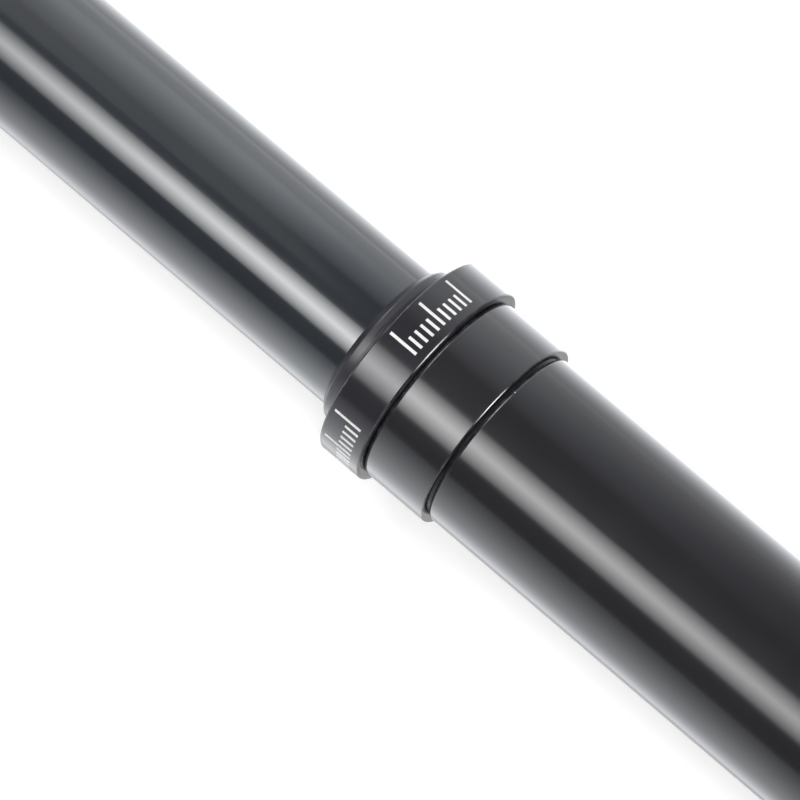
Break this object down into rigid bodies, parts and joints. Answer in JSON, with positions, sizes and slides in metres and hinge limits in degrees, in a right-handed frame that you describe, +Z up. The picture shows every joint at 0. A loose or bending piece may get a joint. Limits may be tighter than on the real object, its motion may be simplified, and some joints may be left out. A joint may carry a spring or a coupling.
{
  "type": "dropper seatpost",
  "caption": "Height-adjustable bicycle seatpost: a black stanchion slides in an outer tube under a banded seal collar, with a tilting two-bolt rail clamp and a cable lever below.",
  "frame": {"origin": "on the post's axis, at the top of the plain tube wall that the frame's seat tube clamps", "axes": "+Z up along the post to the saddle, +X to the front of the bicycle, +Y to its left"},
  "size_m": [0.0552, 0.0574, 0.4477],
  "materials": {
    "tube_black": "satin black anodised",
    "stanchion_black": "glossy black anodised",
    "forged_black": "fine blasted black anodised",
    "rubber": "matte",
    "bright_steel": "bright",
    "dark_steel": "black oxide",
    "alloy": "turned",
    "brass": "bright",
    "bushing_polymer": "matte",
    "glide_polymer": "matte"
  },
  "bodies": {
    "post": {"outer_tube": "tube_black", "stop_sleeve": "tube_black", "seal_collar": "tube_black", "wiper_seal": "rubber", "stanchion_seal": "rubber", "collar_o_ring": "rubber", "upper_bushing": "bushing_polymer", "top_out_sleeve": "glide_polymer", "base_cap": "tube_black", "bottom_out_bumper": "rubber", "piston_rod": "bright_steel", "piston": "alloy", "piston_band": "glide_polymer", "rod_nut": "bright_steel", "lever_bracket": "tube_black", "bracket_screws": "dark_steel", "pivot_pin": "bright_steel", "pivot_clips": "dark_steel", "housing_stop": "alloy", "return_spring": "bright_steel"},
    "stanchion": {"stanchion_tube": "stanchion_black", "head": "forged_black", "lower_bushing": "bushing_polymer", "guide_keys": "brass", "cartridge_tube": "alloy", "cartridge_plug": "alloy", "cartridge_screw": "dark_steel", "cartridge_gland": "alloy", "gland_seal": "rubber", "gland_clip": "dark_steel", "front_bolt": "dark_steel", "rear_bolt": "dark_steel", "front_washer": "bright_steel", "rear_washer": "bright_steel"},
    "saddle_clamp": {"lower_cradle": "forged_black", "upper_clamp": "forged_black"},
    "front_nut": {"front_nut": "bright_steel"},
    "rear_nut": {"rear_nut": "bright_steel"},
    "floating_piston": {"floating_piston": "alloy", "floating_seal": "rubber"},
    "cable_lever": {"cable_lever": "alloy", "cable_barrel": "brass", "barrel_screw": "dark_steel"},
    "release_pin": {"release_pin": "bright_steel", "valve_poppet": "brass"}
  },
  "joints": [
    {"name": "drop", "type": "slide", "parent": "post", "child": "stanchion", "axis": [0, 0, 1], "range_m": [-0.125, 0]},
    {"name": "saddle_tilt", "type": "hinge", "parent": "stanchion", "child": "saddle_clamp", "pos_m": [0, 0, 0.2012], "axis": [0, 1, 0], "range_deg": [-10, 10]},
    {"name": "front_nut_turn", "type": "hinge", "parent": "saddle_clamp", "child": "front_nut", "pos_m": [0.021, 0, 0.2012], "axis": [0, 1, 0], "range_deg": [-10.5, 10.5]},
    {"name": "rear_nut_turn", "type": "hinge", "parent": "saddle_clamp", "child": "rear_nut", "pos_m": [-0.021, 0, 0.2012], "axis": [0, 1, 0], "range_deg": [-10.5, 10.5]},
    {"name": "gas_stroke", "type": "slide", "parent": "stanchion", "child": "floating_piston", "axis": [0, 0, 1], "range_m": [0, 0.0271]},
    {"name": "pin_lift", "type": "slide", "parent": "post", "child": "release_pin", "axis": [0, 0, 1], "range_m": [0, 0.00221], "stiffness_N_per_m": 250, "springref_m": -0.001},
    {"name": "lever_pull", "type": "hinge", "parent": "post", "child": "cable_lever", "pos_m": [0.0055, 0, -0.22], "axis": [0, 1, 0], "range_deg": [-1, 25], "deforming": ["return_spring"]}
  ],
  "couplings": [
    {"joint": "front_nut_turn", "follows": "saddle_tilt", "ratio": -1},
    {"joint": "rear_nut_turn", "follows": "saddle_tilt", "ratio": -1},
    {"joint": "gas_stroke", "follows": "drop", "ratio": -0.21634},
    {"joint": "lever_pull", "follows": "pin_lift", "rad_per_m": 189.39}
  ]
}
